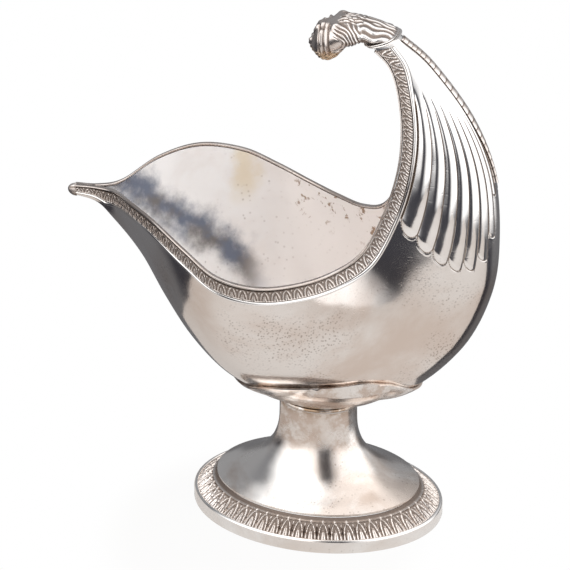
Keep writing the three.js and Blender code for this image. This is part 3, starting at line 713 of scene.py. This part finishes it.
# Slices from the collar to the nose: forward and up of the bottom, forward and up of the top,
# both from HEAD_ROOT, and half width, as shares of HEAD_LENGTH
HEAD_SLICES = np.array([
    [0.24, -0.07, -0.25, 0.09, 0.36], [0.37, -0.10, 0.05, 0.18, 0.365],
    [0.48, -0.19, 0.37, 0.26, 0.38], [0.60, -0.24, 0.72, 0.27, 0.39],
    [0.69, -0.35, 1.01, 0.16, 0.375], [0.78, -0.46, 1.17, -0.01, 0.32],
    [0.85, -0.53, 1.235, -0.30, 0.255], [0.92, -0.55, 1.10, -0.47, 0.15],
])
# Lumps and hollows of the face, in mm: forward, up and to the side of HEAD_ROOT, radius and
# height. The lumps are brow, ear, bridge of the nose, muzzle, cheek and chin; the hollows
# are eye, front of the ear, corner of the mouth and mouth.
LUMPS = [(21.8, 5.6, 4.6, 1.5, 1.1), (17.2, 4.4, 6.0, 1.9, 1.5), (25.5, 1.8, 2.2, 1.5, 0.9),
         (27.0, -4.5, 1.6, 1.6, 0.8), (20.0, -3.0, 6.2, 2.4, 0.7), (22.5, -9.5, 3.5, 1.6, 0.6)]
HOLLOWS = [(22.6, 2.6, 4.4, 1.0, -1.0), (20.6, 3.8, 5.6, 0.9, -0.8), (21.0, -8.2, 4.6, 0.9, -0.9),
           (24.0, -7.0, 3.6, 0.8, -0.7)]


def oval(bottom, top, half, count, squareness):
    """Rings that stand between bottom and top points in the XZ plane, half wide along Y."""
    c, s = unit_oval(count, squareness)
    centre, rise = (bottom + top) / 2, (top - bottom) / 2
    x = centre[:, :1] + rise[:, :1] * s
    z = centre[:, 1:] + rise[:, 1:] * s
    return np.stack([x, half[:, None] * c, z], -1)


def collar_ring(name, node, start, end):
    """Half-round ring round the neck, from one distance along LEAN to another."""
    share, swell = half_round(-0.55, 0.6)
    along = LEAN * lerp(start, end, share)
    bottom = COLLAR_FOOT + along - ACROSS * (swell + 2.8)
    top = COLLAR_BACK + along + ACROSS * (swell + 0.8)
    rings = oval(bottom, top, (COLLAR_HALF + swell)[:, 0], 96, 2.6)
    mesh_piece(name, rings, [ring_silver], [node])


def head_relief(x, y, z):
    """Height of the carving at a point of the head, in mm, and its level from 0 to 1.
    Locks are ridges, half of one plus the cosine of a distance or an angle that bends with
    sines: the distance from the cheek on the sides, the one from the middle on top, and the
    angle round the neck near the collar. Features of the face are rounded lumps."""
    side = np.abs(y)
    forward = HEAD_ROOT[0] - x
    up = z - HEAD_ROOT[1]
    cheek = np.hypot(forward - 17.0, (up + 2.0) * 1.15)
    arcs = np.cos(2 * np.pi * cheek / 1.35 + 1.1 * np.sin(forward * 0.9) + 0.7 * np.sin(up * 1.7))
    arcs = lerp(0.5 + 0.5 * arcs, 0.75, 1 - smooth(2.6, 4.2, cheek))
    angle = np.arctan2(up + 2, side)
    strands = 0.5 + 0.5 * np.cos(angle * 15 + 1.2 * np.sin(forward * 0.8))
    waves = 0.5 + 0.5 * np.cos(side * 3.6 + 1.9 * np.sin(forward * 0.95 + side * 0.5))
    tips = bump((forward * 0.36 + 0.3 * np.sin(side * 2.3)) % 1 - 0.5, 0.12)
    waves = np.clip(waves - 0.5 * tips, 0, 1)
    on_side = smooth(3.0, 5.5, side)
    locks = lerp(waves, arcs, on_side)
    locks = lerp(locks, strands, 1 - smooth(5.5, 8.5, forward))
    face = smooth(15.5, 18.0, forward + 0.12 * up)
    height = lerp(0.6 * locks, 0.1, face)
    level = lerp(locks, 0.8, face)

    def lump(fx, fz, fy, radius, size):
        gap = (forward - fx) ** 2 + (up - fz) ** 2 + (side - fy) ** 2
        return size * np.exp(-gap / radius**2)

    for item in LUMPS + HOLLOWS:
        height = height + lump(*item)
    for item in HOLLOWS:
        level = level + 0.8 * lump(*item)
    on_cheek = smooth(-9, -6.5, up) * (1 - smooth(3.6, 5.2, up)) * smooth(1.5, 3.0, side)
    slant = forward - 0.1 * up
    bands = (bump(slant - 20.3, 0.5) + bump(slant - 22.4, 0.5)) * on_cheek
    gaps = (bump(slant - 21.35, 0.4) + bump(slant - 19.3, 0.4) + bump(slant - 23.5, 0.4)) * on_cheek
    hair = np.cos(2 * np.pi * (slant * 0.35 + up * 0.75) / 1.1) * face * (1 - on_cheek)
    nose = bump(side - 2.0, 0.55) * smooth(20, 23, forward) * 0.6
    height = height + nose + 0.75 * bands - 0.45 * gaps + 0.16 * hair
    return height, np.clip(level - 0.75 * gaps + 0.2 * bands + 0.18 * hair, 0, 1)


def animal_head():
    """Ovals carried from the collar to the nose through the slices, then raised along the
    surface's own normal by the carving."""
    row = np.linspace(0, len(HEAD_SLICES) - 1, 190)
    s = catmull(HEAD_SLICES, row)
    bottom = HEAD_ROOT + s[:, :2] * [-HEAD_LENGTH, HEAD_LENGTH]
    top = HEAD_ROOT + s[:, 2:4] * [-HEAD_LENGTH, HEAD_LENGTH]
    rings = oval(bottom, top, s[:, 4] * HEAD_LENGTH, 200, 2.15)
    around = np.roll(rings, -1, 1) - np.roll(rings, 1, 1)
    along = np.gradient(rings, axis=0)
    normal = np.cross(along, around)
    normal /= np.linalg.norm(normal, axis=2, keepdims=True)
    outward = rings - rings.mean(1, keepdims=True)
    normal *= np.sign((normal * outward).sum(2, keepdims=True))
    height, level = head_relief(rings[..., 0], rings[..., 1], rings[..., 2])
    fade = smooth(0, 6, np.arange(len(row)))[:, None]
    rings = rings + normal * (height * fade - 0.35)[..., None]
    mesh_piece("lion_head", rings, [cast], ["animal_head"], relief=level, sharp=80)


# The foot. An inset from the oval's edge is that much along X, and INSET_ACROSS times as
# much along Y.
INSET_ACROSS, PEDESTAL_INSET, EDGE_HEIGHT = 0.8, 9.7, 13.2
NECK_LENGTH, NECK_WIDTH, NECK_TOP = 31.4, 22.4, 49.1
# The pedestal's profile: share of its height, and share of the way from its edge to the neck
TRUMPET = np.array([[0, 0], [0.045, 0.13], [0.13, 0.38], [0.24, 0.62], [0.36, 0.79], [0.5, 0.91],
                    [0.7, 0.985], [1, 1]])
# Height and outward step of its rounded lower edge, from where the profile starts
PEDESTAL_LIP = np.array([[-1.2, -0.5], [-1.0, -0.15], [-0.5, 0.0], [-0.2, -0.1]])
# Inset and height of the slope that carries the foot's leaves, at its foot and at its top,
# and of the points that close the strip behind it
SLOPE_INSET, SLOPE_HEIGHT = (2.6, 8.5), (4.5, 10.0)
SLOPE_BACK = np.array([[9.6, 11.0], [10.5, 11.6], [9.7, 9.0], [2.6, 4.2]])


def oval_angles(count):
    """Angles round the foot's oval that are evenly spaced along its edge."""
    angle = np.linspace(0, 2 * np.pi, 2001)
    step = np.hypot(np.diff(np.cos(angle)) * FOOT_LENGTH, np.diff(np.sin(angle)) * FOOT_WIDTH)
    run = np.concatenate([[0], np.cumsum(step)])
    return np.interp(np.arange(count) / count * run[-1], run, angle)


def foot_rings(inset, z, count):
    """Ovals at insets and heights; either may vary round the oval."""
    angle = oval_angles(count)[None, :]
    x = (FOOT_LENGTH / 2 - inset) * np.cos(angle)
    y = (FOOT_WIDTH / 2 - inset * INSET_ACROSS) * np.sin(angle)
    return np.stack([x, y, z + 0 * angle], -1)


def foot_loop(name, node, profile):
    """A closed profile of insets and heights, carried round the foot."""
    profile = np.array(profile)
    rings = foot_rings(profile[:, :1], profile[:, 1:], 240)
    mesh_piece(name, rings, [polished], [node], closed=True, sharp=40)


def foot_frieze():
    """Leaves on a slope from the roll up to the pedestal: the leaf height lifts the slope."""
    leaves = round(np.pi * (FOOT_LENGTH + FOOT_WIDTH) / 2 / FOOT_LEAF_PITCH)
    count = leaves * FOOT_LEAF_STEPS
    v = np.linspace(0, 1, 25)[:, None]
    cell = (np.arange(count) / FOOT_LEAF_STEPS % 1 - 0.5)[None, :]
    relief = leaf_height(cell, v)
    lift = 0.7 * (0.25 + relief)
    front = foot_rings(lerp(*SLOPE_INSET, v) - lift, lerp(*SLOPE_HEIGHT, v) + lift, count)
    back = foot_rings(SLOPE_BACK[:, :1], SLOPE_BACK[:, 1:], count)
    relief = np.vstack([relief, np.zeros((len(SLOPE_BACK), count))])
    mesh_piece("foot_leaves", np.concatenate([front, back]), [relief_silver], ["foot_leaf_frieze"],
               closed=True, relief=relief, sharp=80)


def pedestal():
    """Trumpet: ovals that go from the edge to the neck along the profile, then back inside."""
    p = catmull(TRUMPET, np.linspace(0, len(TRUMPET) - 1, 120))
    z = lerp(EDGE_HEIGHT, NECK_TOP, p[:, :1])
    length = lerp(FOOT_LENGTH / 2 - PEDESTAL_INSET, NECK_LENGTH / 2, p[:, 1:])
    width = lerp(FOOT_WIDTH / 2 - PEDESTAL_INSET * INSET_ACROSS, NECK_WIDTH / 2, p[:, 1:])
    length = np.vstack([length[0] + PEDESTAL_LIP[:, 1:], length])
    width = np.vstack([width[0] + PEDESTAL_LIP[:, 1:], width])
    z = np.vstack([EDGE_HEIGHT + PEDESTAL_LIP[:, :1], z])
    c, s = unit_oval(180)

    def rings(inset):
        return np.stack([(length - inset) * c, (width - inset) * s, z + 0 * c], -1)

    inner = rings(SHEET)[len(PEDESTAL_LIP)::6]
    inner[:, :, 2] -= np.linspace(SHEET, 0, len(inner))[:, None]
    mesh_piece("pedestal", np.concatenate([rings(0), inner[::-1]]), [foot], ["foot_pedestal"],
               closed=True, sharp=40)


def stem_ring():
    """Half-round fillet ring on top of the neck."""
    share, swell = half_round(-0.35, 0.75)
    c, s = unit_oval(120)
    z = NECK_TOP + 0.3 + 1.6 * share
    rings = np.stack([(NECK_LENGTH / 2 + swell) * c, (NECK_WIDTH / 2 + swell) * s, z + 0 * c], -1)
    mesh_piece("stem_fillet", rings, [foot], ["stem_ring"])


# The cradle plate's lower face: height over PLATE_BOTTOM, and share of the way out
DISH = np.array([[0, 0], [2.1, 0.02], [2.6, 0.12], [3.4, 0.3], [5.6, 0.48], [8.4, 0.64], [11.5, 0.78],
                 [14.5, 0.88], [18, 0.94], [24, 1.0]])
DISH_LENGTH, DISH_WIDTH, DISH_SQUARENESS = 82.0, 53.0, 2 / 0.9
PLATE_BOTTOM, PLATE_EDGE, PLATE_SHEET, PLATE_RAYS = 51.3, 69.3, 1.4, 160
# Heights over PLATE_BOTTOM of the first rings, which stand upright on the neck
SOCKET_RISES = [0, 0.7, 1.4, 1.9]


def under_bowl(place, lift):
    """Height of the bowl's skin, pushed outwards by lift, over rows of points X, Y of the
    plan. The nearest of a fine grid of skin points is taken and corrected along the grid's
    two directions."""
    t = np.linspace(4.2, 11.2, 281)
    from_keel = np.linspace(0, 44, 177)[None, :]
    grid = skin(t, np.maximum(half_length(t)[:, None] - from_keel, 0), lift, 1, middle=0)
    by_t, by_keel = (np.gradient(grid, axis=k).reshape(-1, 3) for k in (0, 1))
    flat = grid.reshape(-1, 3)
    plan = flat[:, :2]
    place = np.stack([place[..., 0], np.abs(place[..., 1])], -1)
    squares = (plan**2).sum(1)
    k = np.array([(squares - 2 * row @ plan.T).argmin(1) for row in place])
    a, b, gap = by_t[k], by_keel[k], place - plan[k]
    det = a[..., 0] * b[..., 1] - a[..., 1] * b[..., 0] + 1e-12
    u = np.clip((gap[..., 0] * b[..., 1] - gap[..., 1] * b[..., 0]) / det, -1, 1)
    v = np.clip((a[..., 0] * gap[..., 1] - a[..., 1] * gap[..., 0]) / det, -1, 1)
    return flat[k, 2] + u * a[..., 2] + v * b[..., 2]


def plate_edge(x, y):
    """Height of the plate's edge over the plan: level but for a low hump on each side towards
    the back, and for its two ends, which drop."""
    hump = 2.6 * bump(x - 24, 9) * smooth(8, 16, np.abs(y))
    return PLATE_EDGE + hump - 7 * smooth(33, 43, x) - 6 * smooth(15, 27, -x)


def plate_reach(neck, wide, lift):
    """Share of the way from neck to wide, on each ray, at which the skin pushed out by lift
    comes up to the plate's edge, evened out over neighbouring rays."""
    way = np.linspace(0.3, 1.6, 50)
    trial = neck + (wide - neck) * way[:, None, None]
    over = under_bowl(trial, lift) - plate_edge(trial[..., 0], trial[..., 1])
    over = np.maximum.accumulate(over, 0)
    i = np.clip((over < 0).sum(0), 1, len(way) - 1)
    ray = np.arange(PLATE_RAYS)
    below, above = over[i - 1, ray], over[i, ray]
    share = np.clip(-below / (above - below + 1e-9), 0, 1)
    found = lerp(way[i - 1], way[i], share)
    window = np.hanning(7)
    found = np.concatenate([found[-3:], found, found[:3]])
    return np.convolve(found, window / window.sum(), "valid")[:, None]


def saddle_plate():
    """Cradle plate. Along each ray from the neck the lower face is the lower one of two
    surfaces: a dish that flares from the neck's oval, and the bowl's skin pushed out by the
    plate's sheet. It ends where that skin reaches the nearly level edge; the upper face
    follows the skin back."""
    neck = np.concatenate(unit_oval(PLATE_RAYS)).T * [NECK_LENGTH / 2, NECK_WIDTH / 2]
    wide = np.concatenate(unit_oval(PLATE_RAYS, DISH_SQUARENESS)).T * [DISH_LENGTH / 2, DISH_WIDTH / 2]
    outer, inner = plate_reach(neck, wide, PLATE_SHEET), plate_reach(neck, wide, 0.0)

    def skin_row(place, lift):
        return np.column_stack([place, under_bowl(place[None], lift)[0]])

    def row(share, lift, limit):
        return skin_row(neck + (wide - neck) * share * limit, lift)

    heights = PLATE_BOTTOM + np.array(SOCKET_RISES)
    rows = [np.column_stack([neck, np.full(PLATE_RAYS, height)]) for height in heights]
    for share in np.concatenate([[0.015, 0.03, 0.05], np.linspace(0.08, 1, 40)]):
        face = row(share, PLATE_SHEET, outer)
        dish = PLATE_BOTTOM + np.interp(share * outer[:, 0], DISH[:, 1], DISH[:, 0])
        face[:, 2] = np.minimum(face[:, 2], dish)
        rows.append(face)
    rim_out, rim_in = row(1.0, PLATE_SHEET, outer), row(1.0, 0.0, inner)
    for share in (0.15, 0.35, 0.65, 0.85):
        rows.append(lerp(rim_out, rim_in, share) + [0, 0, 0.25 * math.sin(share * math.pi)])
    rows += [row(share, 0.0, inner) for share in (1.0, 0.98, 0.8, 0.5, 0.2)]
    rows.append(skin_row(neck * 0.5, 0.0))
    mesh_piece("saddle", np.array(rows), [foot], ["saddle_plate"], sharp=50)


# Insets and heights round the foot's edge, and of the half-round roll on top of it
EDGE_PROFILE = [[0.15, 0.0], [0.0, 0.5], [0.1, 3.4], [0.25, 4.2], [3.2, 4.2], [2.6, 0.0]]
ROLL_PROFILE = [[1.05 + 1.05 * math.cos(a), 4.2 + 1.7 * math.sin(a)] for a in np.linspace(0, math.pi, 13)]

bowl_shell()
for label, half_side in (("near", -1.0), ("far", 1.0)):
    rim_frieze(label, half_side)
    swept(f"rim_strip_{label}", f"rim_moulding_{label}", half_side, 0.32, 0.5, -0.1, 1.05,
          edge_silver, 3.0)
    swept(f"rim_bead_{label}", f"rim_wire_{label}", half_side, BAND_WIDTH - WIRE_WIDTH / 2,
          WIRE_WIDTH / 2, 0.6, 0.5, polished)
spout_tip()
spine_strip()
throat_plate()
collar_ring("collar_low", "collar_ring_lower", 0.3, 1.38)
collar_ring("collar_high", "collar_ring_upper", 1.6, 2.4)
animal_head()
foot_loop("foot_edge", "foot_wall", EDGE_PROFILE)
foot_loop("foot_roll", "foot_bead_roll", ROLL_PROFILE)
foot_frieze()
pedestal()
stem_ring()
saddle_plate()


# Studio
TABLE_COLOR, TABLE_MIRRORED = (0.56, 0.51, 0.47, 1), 0.65
TABLE_CORNERS = [(-0.26, -0.25, 0), (0.34, -0.25, 0), (0.34, -0.05, 0), (0.08, 0.0, 0),
                 (0.06, 0.045, 0), (-0.11, 0.045, 0)]
# Middle of the shadow the camera sees, and of the part that mirrored rays see as white
SHADOW_CENTRE, MIRRORED_CENTRE = (0, -0.03, 0), (0.07, -0.10, 0)
WHITE = (1, 1, 1, 1)
ROOM, ROOM_BELOW = (0.24, 0.245, 0.26, 1), (0.05, 0.05, 0.06, 1)
# Each soft box: azimuth, half width, side softness, low end, high end and end softness in
# degrees, and its brightness. The gap is a dark one in front of the others.
LEFT_BOX = (-32, 18, 36, -3, 58, 16, 1.75)
RIGHT_BOX = (74, 27, 34, -20, 54, 8, 1.45)
WEAK_BOX = (132, 10, 30, 0, 56, 12, 0.4)
TOP_BOX = (0, 190, 5, 64, 95, 16, 1.3)
GAP = (11, 7, 7, -90, 60, 10, 0.9)
BOX_LABELS = ("Azimuth", "Half Width", "Side Softness", "Low", "High", "End Softness")


def soft_box_group():
    """Brightness of a soft box seen in a direction: 1 inside a patch of azimuth and height,
    falling off smoothly round it. Azimuth is 0 towards -Y and grows towards +X, in radians."""
    tree, part, end = new_group("soft_box", dict.fromkeys(BOX_LABELS, 0.3), "Brightness")
    way = add(tree, "ShaderNodeSeparateXYZ", Vector=add(tree, "ShaderNodeTexCoord").outputs["Generated"])
    turn = math_node(tree, "ARCTAN2", way.outputs["X"], times(tree, way.outputs["Y"], -1.0))
    height = math_node(tree, "ARCSINE", way.outputs["Z"])
    off = math_node(tree, "ABSOLUTE", math_node(tree, "SUBTRACT", turn, part["Azimuth"]))
    side_end = math_node(tree, "ADD", part["Half Width"], part["Side Softness"])
    low_end = math_node(tree, "SUBTRACT", part["Low"], part["End Softness"])
    high_end = math_node(tree, "ADD", part["High"], part["End Softness"])
    sides = ramp(tree, off, side_end, part["Half Width"])
    ends = times(tree, ramp(tree, height, low_end, part["Low"]), ramp(tree, height, high_end, part["High"]))
    tree.links.new(times(tree, sides, ends), end)
    return tree


GROUPS["soft_box"] = soft_box_group()


def box_light(tree, *box):
    """Light of one soft box in a direction, from its row of values."""
    angles = {label: math.radians(value) for label, value in zip(BOX_LABELS, box)}
    return times(tree, use(tree, "soft_box", **angles), box[-1])


def backdrop_share(tree, camera_share, glossy_share):
    """How much of the plain white background a ray sees: rays from the camera and rays that
    came through something see camera_share of it, mirrored ones glossy_share."""
    paths = add(tree, "ShaderNodeLightPath").outputs
    direct = math_node(tree, "MAXIMUM", paths["Is Camera Ray"], paths["Is Transmission Ray"])
    direct = times(tree, direct, camera_share)
    mirrored = times(tree, paths["Is Glossy Ray"], glossy_share)
    return math_node(tree, "MAXIMUM", direct, mirrored)


def table_material():
    """Pale table: seen directly it is mostly plain white with the object's shadow mixed in,
    and mirrored it fades from pale near the front right to the table's own colour."""
    material = bpy.data.materials.new("table_top")
    material.use_nodes = True
    tree = material.node_tree
    plain = tree.nodes["Principled BSDF"]
    plain.inputs["Base Color"].default_value = TABLE_COLOR
    plain.inputs["Roughness"].default_value = 0.9
    plain.inputs["Specular IOR Level"].default_value = 0.1
    white = add(tree, "ShaderNodeEmission", Color=WHITE, Strength=1.0)
    both = add(tree, "ShaderNodeMixShader")
    place = place_on(tree)

    def distance(point):
        gap = add(tree, "ShaderNodeVectorMath", {"operation": "DISTANCE"}, i0=place, i1=point)
        return gap.outputs["Value"]

    seen = ramp(tree, distance(SHADOW_CENTRE), 0.05, 0.072, 0.94, 1.0)
    # Painted pool of light: near MIRRORED_CENTRE mirrored rays see the table glow white, fading out towards
    # the back
    mirrored = ramp(tree, distance(MIRRORED_CENTRE), 0.30, 0.04, 0.0, TABLE_MIRRORED)
    tree.links.new(backdrop_share(tree, seen, mirrored), both.inputs[0])
    tree.links.new(plain.outputs[0], both.inputs[1])
    tree.links.new(white.outputs[0], both.inputs[2])
    tree.links.new(both.outputs[0], tree.nodes["Material Output"].inputs[0])
    return material


def table():
    """Small table top. Away from the foot it is plain white to the camera, so its edges don't
    show in the picture; past them mirrored rays see the darker room."""
    mesh = bpy.data.meshes.new("table")
    mesh.from_pydata(TABLE_CORNERS, [], [range(len(TABLE_CORNERS))])
    mesh.materials.append(table_material())
    top = bpy.data.objects.new("table", mesh)
    bpy.context.scene.collection.objects.link(top)


def room():
    """World light: the soft boxes added to a dim room that is darker below the horizon, and
    the dark gap laid over both. The camera sees plain white, and so in small part do mirrored
    rays that go on behind the object."""
    world = bpy.data.worlds.new("room")
    bpy.context.scene.world = world
    world.use_nodes = True
    tree = world.node_tree
    way = add(tree, "ShaderNodeSeparateXYZ", Vector=add(tree, "ShaderNodeTexCoord").outputs["Generated"])
    glow = box_light(tree, *LEFT_BOX)
    for box in (RIGHT_BOX, WEAK_BOX, TOP_BOX):
        glow = math_node(tree, "ADD", glow, box_light(tree, *box))
    dim = mix(tree, ramp(tree, way.outputs["Z"], -0.02, 0.02), ROOM_BELOW, ROOM)
    light = add(tree, "ShaderNodeMix", {"data_type": "RGBA", "blend_type": "ADD"}, i0=1.0, i6=dim, i7=glow)
    lit = mix(tree, box_light(tree, *GAP), light.outputs[2], ROOM_BELOW)
    behind = ramp(tree, way.outputs["Y"], 0.0, 0.3, 0.0, 0.12)
    background = tree.nodes["Background"]
    shade = mix(tree, backdrop_share(tree, 1.0, behind), lit, WHITE)
    tree.links.new(shade, background.inputs["Color"])
    background.inputs["Strength"].default_value = 1.0


def in_frame(x, y, z):
    """A place given in mm from the foot's axis, in metres in the frame."""
    return Vector([v / 1000 for v in (x + SHIFT, y, z)])


# Place, target and focal length from the fit to the photo
CAMERA_PLACE, CAMERA_TARGET = (269.31, -1107.54, 759.73), (-13.82, 0.0, 99.73)
FOCAL_LENGTH = 211.66


def photo_camera():
    data = bpy.data.cameras.new("camera")
    camera = bpy.data.objects.new("camera", data)
    bpy.context.scene.collection.objects.link(camera)
    camera.location = in_frame(*CAMERA_PLACE)
    view = in_frame(*CAMERA_TARGET) - camera.location
    camera.rotation_euler = view.to_track_quat("-Z", "Y").to_euler()
    data.sensor_width = 36
    data.lens = FOCAL_LENGTH
    data.clip_start, data.clip_end = 0.1, 20
    bpy.context.scene.camera = camera


table()
room()
photo_camera()
bpy.context.scene.view_settings.view_transform = "Standard"
